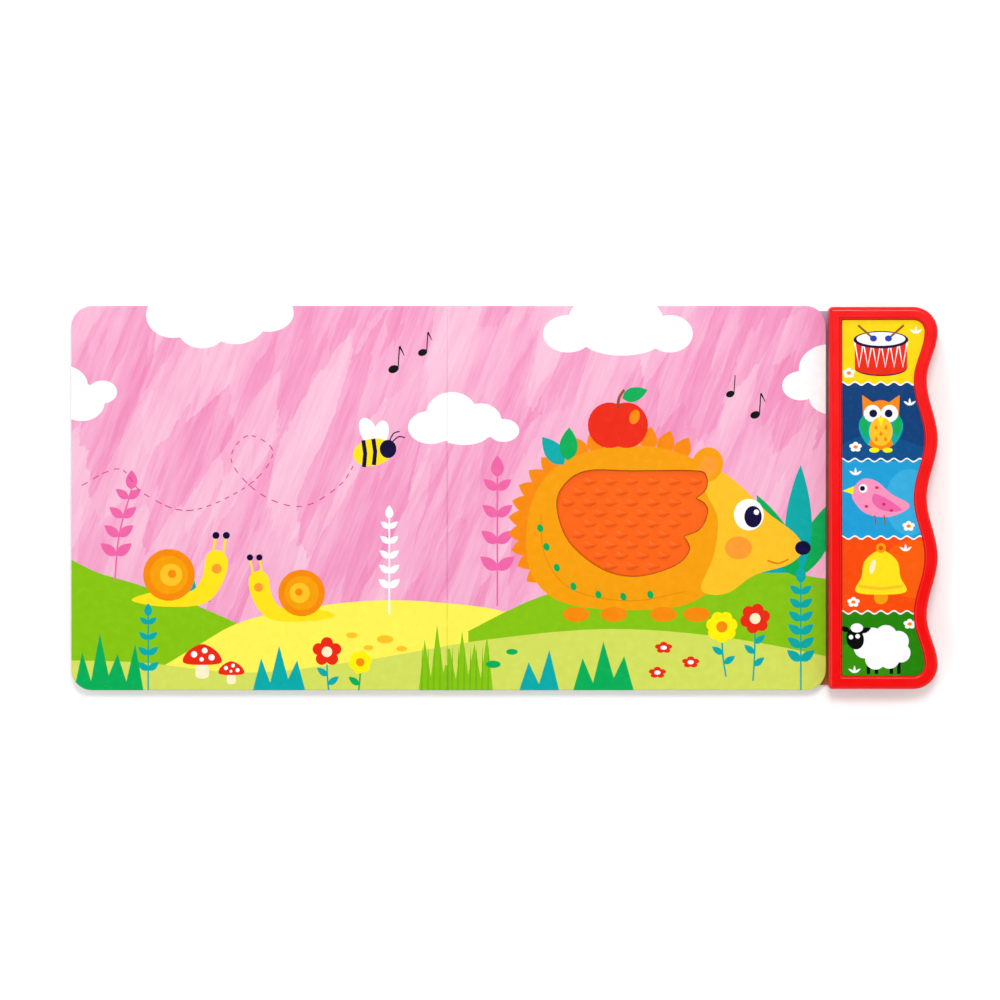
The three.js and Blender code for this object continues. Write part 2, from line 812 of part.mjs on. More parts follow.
for (let index = 0; index < cellCount; index += 1) {
  add(`button_cell_${index + 1}`, buttonCell(), finish(0xc3c6c9, 0.25, 0.95), moduleLeft + bayX,
    cellY(index), cellBottom);
}
const lowContactZ = cellBottom - glueLine - contactSheet;
const highContactZ = cellTop + glueLine;
add('contact_negative', contactWithTab(0, lowContactZ, tabY.negative), finish(0xd2c27a, 0.3, 0.9));
add('contact_link_top', contactLink(0, highContactZ), finish(0xd2c27a, 0.3, 0.9));
add('contact_link_door', contactLink(1, lowContactZ), finish(0xd2c27a, 0.3, 0.9));
add('contact_positive', contactWithTab(2, highContactZ, tabY.positive), finish(0xd2c27a, 0.3, 0.9));
add('battery_door', batteryDoor(), finish(red, 0.35));
add('door_screw', screw(bayTop - bayLift - doorScrewRoom, screwHeadHeight - 2 * glueLine),
  finish(0xb8bbbf, 0.3, 0.9), moduleLeft + bayX, doorScrewY, bayLift);
bossPlaces().forEach(([x, y], index) => {
  add(`housing_screw_${index + 1}`, screw(screwLength, screwHeadHeight),
    finish(0xb8bbbf, 0.3, 0.9), x, y, plateBottom + glueLine);
});

book.position.x = -footprintCentre;

export default book;
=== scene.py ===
import math

import bpy
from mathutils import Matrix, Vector
from mathutils.geometry import delaunay_2d_cdt


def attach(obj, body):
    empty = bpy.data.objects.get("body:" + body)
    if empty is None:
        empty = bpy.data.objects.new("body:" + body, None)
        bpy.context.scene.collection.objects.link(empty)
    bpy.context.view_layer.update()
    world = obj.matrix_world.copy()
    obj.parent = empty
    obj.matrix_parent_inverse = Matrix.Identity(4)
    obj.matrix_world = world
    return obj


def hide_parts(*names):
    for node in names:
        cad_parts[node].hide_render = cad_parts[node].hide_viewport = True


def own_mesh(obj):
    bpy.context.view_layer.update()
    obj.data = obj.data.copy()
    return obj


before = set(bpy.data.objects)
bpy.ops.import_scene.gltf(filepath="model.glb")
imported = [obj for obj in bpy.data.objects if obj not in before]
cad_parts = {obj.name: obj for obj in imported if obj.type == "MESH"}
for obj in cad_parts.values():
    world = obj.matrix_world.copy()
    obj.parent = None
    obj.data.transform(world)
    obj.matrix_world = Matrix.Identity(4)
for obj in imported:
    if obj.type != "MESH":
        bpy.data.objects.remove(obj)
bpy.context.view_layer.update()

# Lengths are in millimetres and are turned into metres as each mesh is made. Shapes are laid out
# in page coordinates: x from the gutter, y from the middle of the page. GUTTER moves them into the
# row frame.
MM = 0.001
GUTTER = -27.25
PAGE_TOP = 8.5
PAGE_HALF = 92.5
LEFT_REACH = 181.0
RIGHT_REACH = 182.2
PAGE_CORNER = 10.0
EDGE_ROUND = 0.5
LEAF_BOARD = 2.8
LEAF_GAP = 0.2
COVER_BOARD = 2.5
SPINE_NEAR = 0.15
SPINE_FAR = 0.65
SPINE_TOP = 8.0
LEAF_START = 0.75
CREASE_EDGE = 0.005
CREASE_ROUND = 1.1
CREASE_DEPTH = 0.5
MODULE_LEFT = 183.2
MODULE_RIGHT = 235.5
MODULE_HALF = 91.8
MODULE_TOP = 17.0
MODULE_CORNER = 11.7
MODULE_SMALL_CORNER = 1.7
WAVE_STEP = 28.3
WAVE_DEPTH = 5.2
WALL = 1.4
RIM = 6.1
FILM = 0.3
FILM_TOP = 15.8
BED_TOP = 15.4
BED_UNDER = 14.0
BUTTON_X = MODULE_LEFT + 24.0
BUTTON_Y = [70.2, 36.6, 0.0, -36.6, -70.2]
ZONE_EDGES = [55.0, 18.2, -19.0, -54.9]
PAD_BOTTOM = 5.8
PAD_TOP = 7.3
DROP_LENGTH = 7.4
DROP_WIDTH = 3.8
DROP_RISE = 1.2
DROP_FULLNESS = 1.3


# Materials

# The light is set so that a surface of this reflectance shows as full white, which leaves the
# floor white up to the foot of the book.
WHITE = 0.67
# The gloss lays this much light over every colour
GLOSS_VEIL = 0.008


def linear(rgb):
    """A display colour of 0 to 255 as Blender's linear colour under this scene's light."""
    def channel(c):
        c /= 255
        c = c / 12.92 if c <= 0.04045 else ((c + 0.055) / 1.055) ** 2.4
        return max(c * WHITE - GLOSS_VEIL, 0.0005)
    return (*[channel(c) for c in rgb], 1.0)


def node(tree, kind, inputs=None, **settings):
    """A shader node with its inputs set or linked."""
    made = tree.nodes.new("ShaderNode" + kind)
    for key, value in settings.items():
        setattr(made, key, value)
    for key, value in (inputs or {}).items():
        if isinstance(value, bpy.types.NodeSocket):
            tree.links.new(value, made.inputs[key])
        else:
            made.inputs[key].default_value = value
    return made


def ramp(tree, fac, stops):
    made = node(tree, "ValToRGB", {"Fac": fac})
    elements = made.color_ramp.elements
    while len(elements) < len(stops):
        elements.new(0.5)
    for element, (place, color) in zip(elements, stops):
        element.position = place
        element.color = color
    return made.outputs["Color"]


def start_material(name, roughness, specular, metallic=0.0):
    material = bpy.data.materials.new(name)
    material.use_nodes = True
    tree = material.node_tree
    shader = tree.nodes["Principled BSDF"]
    shader.inputs["Roughness"].default_value = roughness
    shader.inputs["Metallic"].default_value = metallic
    shader.inputs["Specular IOR Level"].default_value = specular
    return material, tree, shader


def place(tree, scale=(1, 1, 1), turn=0.0):
    """Object coordinates in metres, turned about Z and scaled."""
    coords = node(tree, "TexCoord").outputs["Object"]
    mapping = node(tree, "Mapping", {"Vector": coords})
    mapping.inputs["Rotation"].default_value = (0, 0, turn)
    stretched = node(tree, "Mapping", {"Vector": mapping.outputs["Vector"]})
    stretched.inputs["Scale"].default_value = scale
    return stretched.outputs["Vector"]


def noise(tree, vector, scale, detail=2.0, roughness=0.5):
    made = node(tree, "TexNoise", {"Vector": vector, "Scale": scale, "Detail": detail,
                                   "Roughness": roughness})
    return made.outputs["Fac"]


def add_bump(tree, shader, height, strength, distance):
    made = node(tree, "Bump", {"Height": height, "Strength": strength, "Distance": distance})
    tree.links.new(made.outputs["Normal"], shader.inputs["Normal"])


def shade(color, share):
    return (*[min(1.0, c * share) for c in color[:3]], 1)


def paint(tree, shader, tone, stops):
    tree.links.new(ramp(tree, tone, stops), shader.inputs["Base Color"])


def mottled(name, rgb, spread=0.03, scale=260.0, roughness=0.26, specular=0.11,
            bump=0.06, bump_scale=900.0, bump_depth=0.0002):
    """One colour with faint mottling, uneven gloss and a fine surface grain."""
    material, tree, shader = start_material(name, roughness, specular)
    vector = place(tree)
    base = linear(rgb)
    patch = noise(tree, vector, scale, 3.0)
    paint(tree, shader, patch, [(0.3, shade(base, 1 - spread)), (0.7, shade(base, 1 + spread))])
    gloss = node(tree, "MapRange", {"Value": patch, "From Min": 0.3, "From Max": 0.7,
                                    "To Min": roughness - 0.03, "To Max": roughness + 0.03})
    tree.links.new(gloss.outputs["Result"], shader.inputs["Roughness"])
    add_bump(tree, shader, noise(tree, vector, bump_scale, 2.0), bump, bump_depth)
    return material


def strokes(tree, scale, turn, width_ratio, waver):
    """Brush strokes side by side: long cells with wavering edges, each of one tone."""
    vector = place(tree, (1.0, width_ratio, 1.0), turn)
    edge = node(tree, "TexNoise", {"Vector": vector, "Scale": scale * 2.2, "Detail": 4.0,
                                   "Roughness": 0.7})
    shifted = node(tree, "VectorMath", {0: edge.outputs["Color"], 1: (waver,) * 3},
                   operation="MULTIPLY")
    moved = node(tree, "VectorMath", {0: vector, 1: shifted.outputs["Vector"]}, operation="ADD")
    cells = node(tree, "TexVoronoi", {"Vector": moved.outputs["Vector"], "Scale": scale})
    tone = node(tree, "SeparateColor", {"Color": cells.outputs["Color"]})
    return tone.outputs["Red"]


def mixed(tree, first, second, share):
    made = node(tree, "Mix", {"Factor": share, "A": first, "B": second})
    return made.outputs["Result"]


def brushed_sky(name):
    """Pink paint in long steep strokes, lighter and deeper over each other."""
    material, tree, shader = start_material(name, 0.26, 0.11)
    broad = strokes(tree, 62.0, 0.40, 0.22, 0.006)
    narrow = strokes(tree, 150.0, 0.34, 0.14, 0.003)
    patch = noise(tree, place(tree, (1.0, 0.45, 1.0), 0.5), 30.0, 3.0, 0.55)
    streak = noise(tree, place(tree, (1.0, 0.07, 1.0), 0.40), 300.0, 5.0, 0.7)
    scrape = noise(tree, place(tree, (1.0, 0.05, 1.0), 0.3), 900.0, 2.0, 0.6)
    tone = mixed(tree, broad, narrow, 0.38)
    tone = mixed(tree, tone, patch, 0.50)
    tone = mixed(tree, tone, streak, 0.36)
    tone = mixed(tree, tone, scrape, 0.10)
    paint(tree, shader, tone, [
        (0.32, linear((236, 136, 182))),
        (0.42, linear((241, 156, 196))),
        (0.50, linear((244, 174, 206))),
        (0.58, linear((246, 188, 213))),
        (0.70, linear((249, 204, 224))),
    ])
    add_bump(tree, shader, noise(tree, place(tree), 900.0), 0.06, 0.0002)
    return material


def cover_lining(name):
    """The lining print of the back cover: lilac at the head, orange brown at the foot."""
    material, tree, shader = start_material(name, 0.45, 0.25)
    split = node(tree, "SeparateXYZ", {"Vector": place(tree)})
    height = node(tree, "MapRange", {"Value": split.outputs["Y"], "From Min": -0.09,
                                     "From Max": 0.09})
    cloudy = noise(tree, place(tree), 60.0, 4.0)
    paint(tree, shader, mixed(tree, height.outputs["Result"], cloudy, 0.12), [
        (0.05, linear((202, 118, 52))),
        (0.45, linear((226, 160, 120))),
        (0.95, linear((196, 178, 210))),
    ])
    add_bump(tree, shader, noise(tree, place(tree), 700.0), 0.08, 0.0002)
    return material


def board_edge(name):
    """Die-cut greyboard seen on its edge, with its fibres lying flat."""
    material, tree, shader = start_material(name, 0.85, 0.15)
    layers = noise(tree, place(tree, (0.12, 0.12, 1.0)), 2600.0, 3.0, 0.7)
    specks = noise(tree, place(tree), 1500.0, 2.0)
    paint(tree, shader, mixed(tree, layers, specks, 0.4), [
        (0.35, linear((196, 189, 177))),
        (0.65, linear((222, 217, 207))),
    ])
    add_bump(tree, shader, layers, 0.35, 0.0002)
    return material


def metal(name, rgb, roughness, grain=(1.0, 0.08, 1.0)):
    material, tree, shader = start_material(name, roughness, 0.5, 1.0)
    lines = noise(tree, place(tree, grain), 1800.0, 3.0)
    base = linear(rgb)
    paint(tree, shader, lines, [(0.35, shade(base, 0.86)), (0.65, base)])
    add_bump(tree, shader, lines, 0.12, 0.0001)
    return material


def plastic(name, rgb, roughness, grain=0.05, specular=0.5):
    return mottled(name, rgb, 0.02, 90.0, roughness, specular, grain, 1600.0, 0.0001)


PRINT = {
    "yellow_hill": (254, 242, 90), "lime": (136, 196, 34), "lime_blade": (110, 180, 34),
    "pale_lime": (211, 223, 97), "teal": (0, 171, 169), "green": (27, 174, 91),
    "print_red": (235, 51, 35), "yellow": (255, 240, 0), "soft_yellow": (255, 226, 40),
    "cloud": (255, 255, 255), "amber": (245, 160, 0), "amber_line": (222, 132, 6),
    "light_amber": (253, 195, 48), "navy_black": (33, 25, 65), "pink_plant": (238, 105, 168),
    "magenta": (216, 70, 131), "flower_orange": (245, 140, 20), "blush": (249, 158, 56),
    "cream": (255, 240, 200), "deep_pink": (226, 40, 100), "brown": (150, 84, 40),
    "zone_yellow": (252, 217, 22), "zone_navy": (10, 68, 122), "navy_tone": (18, 82, 138),
    "zone_blue": (42, 160, 214), "blue_tone": (62, 174, 222), "zone_orange": (248, 81, 8),
    "orange_tone": (250, 98, 28), "zone_green": (46, 134, 14), "green_tone": (60, 148, 26),
    "black": (28, 26, 30), "label_pink": (247, 150, 190), "label_blue": (48, 72, 180),
}
MATERIALS = {key: mottled(key, rgb) for key, rgb in PRINT.items()}
MATERIALS["sky"] = brushed_sky("sky")
MATERIALS["lining"] = cover_lining("lining")
MATERIALS["board_edge"] = board_edge("board_edge")
MATERIALS["pad_rubber"] = mottled("pad_rubber", (255, 104, 0), 0.03, 120.0, 0.32, 0.14,
                                  0.10, 2400.0, 0.0001)
MATERIALS["shell_red"] = plastic("shell_red", (243, 26, 2), 0.24, 0.03, 0.2)
MATERIALS["base_red"] = plastic("base_red", (240, 30, 18), 0.42, 0.2, 0.4)
MATERIALS["film_edge"] = plastic("film_edge", (236, 236, 238), 0.3)


# Flat shapes

def turned(points, x, y, turn):
    """The points turned by that many degrees and moved to x, y."""
    c, s = math.cos(math.radians(turn)), math.sin(math.radians(turn))
    return [(x + u * c - v * s, y + u * s + v * c) for u, v in points]


def scaled(points, x, y, size, side=1):
    """The points scaled, mirrored where side is -1, and moved to x, y."""
    return [(x + side * size * u, y + size * v) for u, v in points]


def anticlockwise(points):
    area = sum(points[i - 1][0] * p[1] - p[0] * points[i - 1][1] for i, p in enumerate(points))
    return points if area > 0 else points[::-1]


def oval(x, y, rx, ry=None, turn=0.0, count=26):
    ry = rx if ry is None else ry
    angles = [2 * math.pi * i / count for i in range(count)]
    return turned([(rx * math.cos(a), ry * math.sin(a)) for a in angles], x, y, turn)


def arc(x, y, radius, start, steps):
    """A quarter of a circle, anticlockwise from start degrees."""
    angles = [math.radians(start + 90 * i / steps) for i in range(steps + 1)]
    return [(x + radius * math.cos(a), y + radius * math.sin(a)) for a in angles]


def smooth(points, steps, closed=True):
    """A Catmull-Rom curve through the points."""
    ends = (points[-1], points[:2]) if closed else (points[0], points[-1:])
    around = [ends[0], *points, *ends[1]]
    found = []
    for i in range(len(around) - 3):
        p = around[i:i + 4]
        for j in range(steps):
            t = j / steps
            w = [-0.5 * t + t * t - 0.5 * t ** 3, 1 - 2.5 * t * t + 1.5 * t ** 3,
                 0.5 * t + 2 * t * t - 1.5 * t ** 3, -0.5 * t * t + 0.5 * t ** 3]
            found.append(tuple(sum(w[k] * p[k][axis] for k in range(4)) for axis in (0, 1)))
    if not closed:
        found.append(tuple(points[-1]))
    return found


def ribbon(points, width, tip=1.0):
    """A line of that width along the points, with its last end narrowed to tip of it."""
    left, right = [], []
    last = len(points) - 1
    for i, (x, y) in enumerate(points):
        ax, ay = points[max(i - 1, 0)]
        bx, by = points[min(i + 1, last)]
        length = math.hypot(bx - ax, by - ay) or 1.0
        half = width / 2 * (1 + (tip - 1) * i / last)
        nx, ny = -(by - ay) / length * half, (bx - ax) / length * half
        left.append((x + nx, y + ny))
        right.append((x - nx, y - ny))
    return right + left[::-1]


def leaf(x, y, length, width, turn, count=7):
    """A leaf or petal that starts at x, y and points along turn."""
    side = []
    for i in range(count + 1):
        t = i / count
        side.append((length * t, width / 2 * math.sin(math.pi * t ** 0.8) ** 0.85))
    points = side + [(u, -v) for u, v in side[-2:0:-1]]
    return turned(points, x, y, turn)[::-1]


def drop(x, y, length, width, turn, count=14):
    """A drop with its point along turn."""
    points = []
    for i in range(count):
        a = 2 * math.pi * (i + 0.5) / count
        v = width / 2 * DROP_FULLNESS * math.sin(a) * abs(math.sin(a / 2))
        points.append((length / 2 * math.cos(a), v))
    return turned(points, x, y, turn)


class Print:
    """Flat shapes in paint order, each with the key of its colour, drawn about the origin."""

    def __init__(self):
        self.shapes = []
        self.origin = (0, 0)

    def add(self, key, points):
        ox, oy = self.origin
        self.shapes.append((key, anticlockwise([(x + ox, y + oy) for x, y in points])))

    def oval(self, key, *place):
        self.add(key, oval(*place))

    def blob(self, key, points, steps):
        self.add(key, smooth(points, steps))

    def band(self, key, points, width, tip=1.0):
        self.add(key, ribbon(points, width, tip))

    def line(self, key, points, width, tip=1.0, steps=5):
        self.band(key, smooth(points, steps, False), width, tip)

    def cloud(self, *puffs):
        for puff in puffs:
            self.add("cloud", oval(*puff, count=40))

    def hill(self, key, foot, crest, steps=10):
        """Ground under the crest line, down to a level foot."""
        line = smooth(crest, steps, False)
        self.add(key, [(line[0][0], foot), *line, (line[-1][0], foot)])

    def tuft(self, key, left, foot, width, heights):
        """Grass blades side by side on one foot."""
        pitch = width / len(heights)
        points = [(left, foot)]
        for i, height in enumerate(heights):
            points.append((left + (i + 0.5) * pitch, foot + height))
            if i + 1 < len(heights):
                points.append((left + (i + 1) * pitch, foot + 0.3 * height))
        points.append((left + width, foot))
        self.add(key, points)

    def sprig(self, key, x, foot, height, pairs, size, lean=0.0):
        """A stem with pairs of leaves and one more at its tip."""
        def along(t):
            return x + lean * t * t, foot + height * t
        self.line(key, [along(0), along(0.5), along(1)], 0.8)
        for i in range(pairs):
            px, py = along(0.28 + 0.62 * i / max(pairs - 1, 1))
            scale = size * (1 - 0.25 * i / pairs)
            for turn in (38, 142):
                self.add(key, leaf(px, py, scale, scale * 0.52, turn))
        self.add(key, leaf(*along(1), size, size * 0.6, 90))

    def flower(self, key, x, y, reach, petals, heart, squash=1.0):
        for i in range(petals):
            a = 2 * math.pi * (i + 0.25) / petals
            self.oval(key, x + 0.6 * reach * math.cos(a), y + 0.6 * reach * squash * math.sin(a),
                      0.42 * reach, 0.42 * reach * squash, 0.0, 16)
        self.oval(key, x, y, 0.5 * reach, 0.5 * reach * squash)
        self.oval(heart, x, y, 0.36 * reach, 0.36 * reach * squash)

    def stem(self, key, x, foot, top, bend, leaves):
        self.line(key, [(x + bend, foot), (x + bend * 0.3, (foot + top) / 2), (x, top)], 0.8)
        for t, turn in leaves:
            py = foot + (top - foot) * t
            self.add(key, leaf(x + bend * (1 - t) ** 1.5, py, 6.5, 3.2, turn))

    def dashes(self, key, points, width, dash=2.0, gap=1.7):
        track = smooth(points, 14, False)
        run, piece, drawn = 0.0, [track[0]], True
        for a, b in zip(track, track[1:]):
            run += math.hypot(b[0] - a[0], b[1] - a[1])
            piece.append(b)
            if run >= (dash if drawn else gap):
                if drawn and len(piece) > 1:
                    self.band(key, piece, width)
                run, piece, drawn = 0.0, [b], not drawn

    def mushroom(self, x, foot, size):
        stalk = [(-0.2, 0), (-0.14, 0.5), (0.14, 0.5), (0.2, 0)]
        cap = [(-0.6, 0.45), (-0.48, 0.8), (0, 1.05), (0.48, 0.8), (0.6, 0.45), (0, 0.38)]
        self.blob("cream", scaled(stalk, x, foot, size), 4)
        self.blob("print_red", scaled(cap, x, foot, size), 6)
        for u, v, r in ((-0.26, 0.72, 0.1), (0.08, 0.84, 0.09), (0.3, 0.62, 0.1),
                        (-0.02, 0.56, 0.07)):
            self.oval("cloud", x + u * size, foot + v * size, r * size)

    def note(self, x, y, size, flag=True):
        self.oval("black", x, y, 0.3 * size, 0.22 * size, 20)
        self.band("black", scaled([(0.26, 0), (0.34, 1.3)], x, y, size), 0.07 * size)
        if flag:
            self.line("black", scaled([(0.34, 1.3), (0.5, 1), (0.62, 0.75)], x, y, size),
                      0.12 * size, 0.2)

    def snail(self, x, y, side, size):
        def at(*spot):
            return scaled([spot], x, y, size, side)[0]
        body = [(-20, -5), (-8, -1), (8, -1), (14, 6), (16, 16), (21, 19), (26, 15), (25, 6),
                (19, -4), (10, -8), (-8, -8)]
        self.blob("soft_yellow", scaled(body, x, y, size, side), 6)
        self.oval("flower_orange", *at(-2, 7), 12.5 * size)
        self.oval("amber", *at(-2, 7), 9.2 * size)
        self.oval("light_amber", *at(-1, 7), 5.4 * size)
        self.oval("flower_orange", *at(-0.5, 7.5), 2.0 * size)
        for u in (19, 24):
            self.line("soft_yellow", [at(u, 16), at(u + 0.8, 22), at(u + 1.6, 25)], 1.1 * size)
            self.oval("navy_black", *at(u + 1.6, 26), 1.7 * size)
        self.oval("blush", *at(21, 10), 2.4 * size)


def partition(outlines, holes, shapes, base):
    """Splits the outline into triangles, each with the key of the top shape over it.
    Returns points, triangles and keys."""
    loops = [*outlines, *[points for _, points in shapes], *holes]
    points, faces = [], []
    for loop in loops:
        faces.append(list(range(len(points), len(points) + len(loop))))
        points += [Vector(p) for p in anticlockwise(loop)]
    verts, _, triangles, _, _, owners = delaunay_2d_cdt(points, [], faces, 1, 1e-4, True)
    kept, keys = [], []
    first, cut = len(outlines), len(outlines) + len(shapes)
    for triangle, own in zip(triangles, owners):
        if not own or min(own) >= first or max(own) >= cut:
            continue
        a, b, c = (verts[i] for i in triangle)
        flip = (b - a).cross(c - a) < 0
        kept.append(tuple(reversed(triangle)) if flip else tuple(triangle))
        top = max(own)
        keys.append(base if top < first else shapes[top - first][0])
    used = sorted({i for triangle in kept for i in triangle})
    index = {i: n for n, i in enumerate(used)}
    kept = [tuple(index[i] for i in triangle) for triangle in kept]
    return [tuple(verts[i]) for i in used], kept, keys


def boundary(triangles, keys):
    """The boundary of a set of triangles as loops of (vertex, key of the edge that starts there)."""
    owner = {}
    for triangle, key in zip(triangles, keys):
        for i in range(3):
            owner[(triangle[i], triangle[(i + 1) % 3])] = key
    following = {}
    for (a, b), key in owner.items():
        if (b, a) not in owner:
            following.setdefault(a, []).append((b, key))
    loops = []
    while following:
        start = next(iter(following))
        loop, at = [], start
        while at in following:
            b, key = following[at].pop()
            if not following[at]:
                del following[at]
            loop.append((at, key))
            at = b
        loops.append(loop)
    return loops


class Mesh:
    """Collects vertices in page coordinates and faces with their materials."""

    def __init__(self):
        self.verts, self.faces, self.keys, self.smooth = [], [], [], []

    def vert(self, x, y, z):
        self.verts.append((x, y, z))
        return len(self.verts) - 1

    def face(self, corners, key, smooth=False):
        self.faces.append(tuple(corners))
        self.keys.append(key)
        self.smooth.append(smooth)

    def flat(self, points, triangles, keys, z, up=True):
        """Lays a partition down at a height and returns the index of its first vertex."""
        first = len(self.verts)
        self.verts += [(x, y, z) for x, y in points]
        for triangle, key in zip(triangles, keys):
            corners = [first + i for i in triangle]
            self.face(corners if up else corners[::-1], key)
        return first

    def skirt(self, upper, lower, keys, smooth=False):
        """Quads between two rings of vertices, outside face out for a ring that runs
        anticlockwise with upper above."""
        count = len(upper)
        for i in range(count):
            j = (i + 1) % count
            key = keys if isinstance(keys, str) else keys[i]
            self.face((upper[i], lower[i], lower[j], upper[j]), key, smooth)

    def ring(self, points, z):
        return [self.vert(x, y, z) for x, y in points]

    def stack(self, rings, key, smooth=True):
        """Skirts through rings of points and z, highest first. Returns all the rings."""
        made = [self.ring(points, z) for points, z in rings]
        for upper, lower in zip(made, made[1:]):
            self.skirt(upper, lower, key, smooth)
        return made

    def make(self, name, body, nodes=()):
        mesh = bpy.data.meshes.new(name)
        placed = [((x + GUTTER) * MM, y * MM, z * MM) for x, y, z in self.verts]
        mesh.from_pydata(placed, [], self.faces)
        used = sorted(set(self.keys))
        for key in used:
            mesh.materials.append(MATERIALS[key])
        index = {key: i for i, key in enumerate(used)}
        mesh.polygons.foreach_set("material_index", [index[key] for key in self.keys])
        mesh.polygons.foreach_set("use_smooth", self.smooth)
        mesh.validate()
        mesh.update()
        obj = bpy.data.objects.new(name, mesh)
        bpy.context.scene.collection.objects.link(obj)
        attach(obj, body)
        if nodes:
            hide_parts(*nodes)
        return obj


def cad_loops(name, z, up):
    """The outlines of a CAD node's flat face at height z, in page coordinates."""
    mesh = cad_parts[name].data
    sign = 1 if up else -1
    triangles = []
    mesh.calc_loop_triangles()
    for tri in mesh.loop_triangles:
        corners = [mesh.vertices[i].co / MM for i in tri.vertices]
        if any(abs(c.z - z) > 0.02 for c in corners) or tri.normal.z * sign < 0.9:
            continue
        spots = [(round(c.x - GUTTER, 3), round(c.y, 3)) for c in corners]
        if len(set(spots)) == 3:
            triangles.append(spots)
    loops = boundary(triangles, [""] * len(triangles))
    return [[spot for spot, _ in loop] for loop in loops]


def span(loop):
    xs, ys = [p[0] for p in loop], [p[1] for p in loop]
    return (max(xs) - min(xs)) * (max(ys) - min(ys))


# The picture: a generic garden spread over both pages

def garden():
    art = Print()
    art.cloud((-132, 88, 13, 11), (-118, 82, 12, 10), (-102, 86, 15, 12), (-86, 89, 12, 9),
              (-112, 92, 26, 8))
    art.cloud((-8, 34, 11, 8), (2, 41, 12, 10), (16, 37, 10, 8.5), (27, 32.5, 7.5, 5.5),
              (8, 31, 12, 5.5))
    art.cloud((58, 79, 12, 9), (72, 85, 14, 12), (90, 84, 14, 13), (107, 79, 11, 9),
              (84, 76, 19, 7.5))
    art.cloud((184, 62, 15, 12), (170, 54, 9, 7), (186, 48, 12, 8))
    art.cloud((-186, 54, 13, 10), (-176, 46, 11, 9), (-166, 51, 7, 5.5))
    # Hills
    art.blob("lime", [(-200, -30), (-165, -37), (-120, -52), (-80, -74), (-60, -110),
                      (-200, -110)], 10)
    art.blob("yellow_hill", [(-150, -110), (-112, -66), (-62, -52), (-8, -50), (44, -62),
                             (80, -110)], 12)
    art.hill("lime", -110, [(10, -64), (46, -47), (90, -37), (138, -33), (200, -42)])
    art.hill("pale_lime", -110, [(-200, -78), (-150, -79), (-96, -84), (-40, -78), (20, -68),
                                 (80, -63), (140, -68), (200, -80)], 8)
    # Plants behind the figure
    art.sprig("pink_plant", 24, -52, 62, 4, 10.5)
    art.sprig("cloud", -28, -56, 46, 5, 6.5)
    art.sprig("pink_plant", -160, -40, 44, 4, 9.5, 8)
    art.tuft("teal", 150, -36, 22, [14, 22, 15])
    art.tuft("teal", -134, -50, 20, [15, 20, 12])
    for turn, length, key in ((62, 46, "green"), (88, 54, "teal"), (116, 44, "green")):
        art.add(key, leaf(168, -38, length, 13, turn, 10))
    # Hedgehog
    for i in range(17):
        turn = 212 - i * 9.4
        a = math.radians(turn)
        cx, cy = 88 + 47 * math.cos(a), -14 + 37 * math.sin(a)
        art.add("flower_orange", leaf(cx, cy, 12, 8.5, turn))
    art.blob("amber", [(38, -26), (40, -4), (50, 13), (70, 23), (96, 25), (118, 19), (132, 8),
                       (136, -12), (134, -34), (118, -50), (90, -54), (58, -51), (43, -41)], 8)
    art.blob("light_amber", [(120, 14), (131, 13), (142, 5), (154, -7), (167, -17), (171, -25),
                             (164, -32), (148, -37), (134, -46), (122, -44), (128, -28),
                             (130, -10), (124, 3)], 7)
    art.line("amber_line", [(45, -8), (47, -28), (60, -44), (88, -49.5), (114, -45)], 0.35, 1, 7)
    art.oval("amber", 125, 16, 7.5, 8.5, -20)
    art.oval("blush", 125.5, 15.5, 4.2, 5, -20)
    art.oval("blush", 140, -24, 6.5, 5.5)
    art.oval("cloud", 145, -8, 7.2, 7.6)
    art.oval("navy_black", 147, -9, 4.2, 5.2)
    art.oval("cloud", 148.6, -6.8, 1.3)
    art.oval("navy_black", 171, -24, 3.8, 3.4)
    art.line("amber_line", [(154, -30), (159, -31.5), (164, -29.5)], 0.8)
    for x in (62, 80, 104, 120):
        art.oval("flower_orange", x, -56, 6.5, 3.6)
    for x, y in ((44, -14), (47, -23), (52, -33), (60, -42), (72, -46), (84, -47), (97, -46)):
        art.oval("green", x + 0.6, y - 0.5, 1.5, 2.0, 20)
    # Apple and leaves on its back
    art.oval("print_red", 78, 35, 10.5, 11)
    art.oval("print_red", 86, 35, 10.5, 11)
    art.oval("flower_orange", 90, 39, 2.4, 3.6, -20)
    art.line("brown", [(82, 43), (82.5, 48), (85, 52)], 1.3)
    art.add("green", leaf(84, 48, 13, 7, 18))
    art.add("teal", leaf(56, 16, 17, 9, 128))
    art.add("green", leaf(58, 18, 16, 9, 88))
    # Yellow snails on the left page
    art.snail(-132, -44, 1, 1.0)
    art.snail(-72, -52, -1, 0.9)
    # Bee with its dashed flight path
    art.dashes("magenta", [(-176, 6), (-158, 14), (-146, 2), (-124, -6), (-96, 6), (-84, 22),
                           (-96, 30), (-104, 18), (-90, 2), (-70, -4), (-52, 6), (-44, 18)], 0.5)
    art.oval("cloud", -38, 32, 4.0, 7.0, 24)
    art.oval("cloud", -32, 31, 3.6, 6.4, -14)
    art.oval("soft_yellow", -36, 22, 9.5, 6.6, 12)
    for u in (-3.6, 1.2):
        art.band("navy_black", [(-36 + u - 0.6, 15.6 + 0.2 * u), (-36 + u, 22 + 0.2 * u),
                                (-36 + u - 0.9, 28.3 + 0.15 * u)], 2.0)
    art.oval("navy_black", -28.6, 23.6, 4.0, 4.4)
    art.line("navy_black", [(-28, 27), (-26, 31), (-23, 32)], 0.6)
    art.line("navy_black", [(-26.5, 27), (-23.5, 29.5), (-20.5, 29)], 0.6)
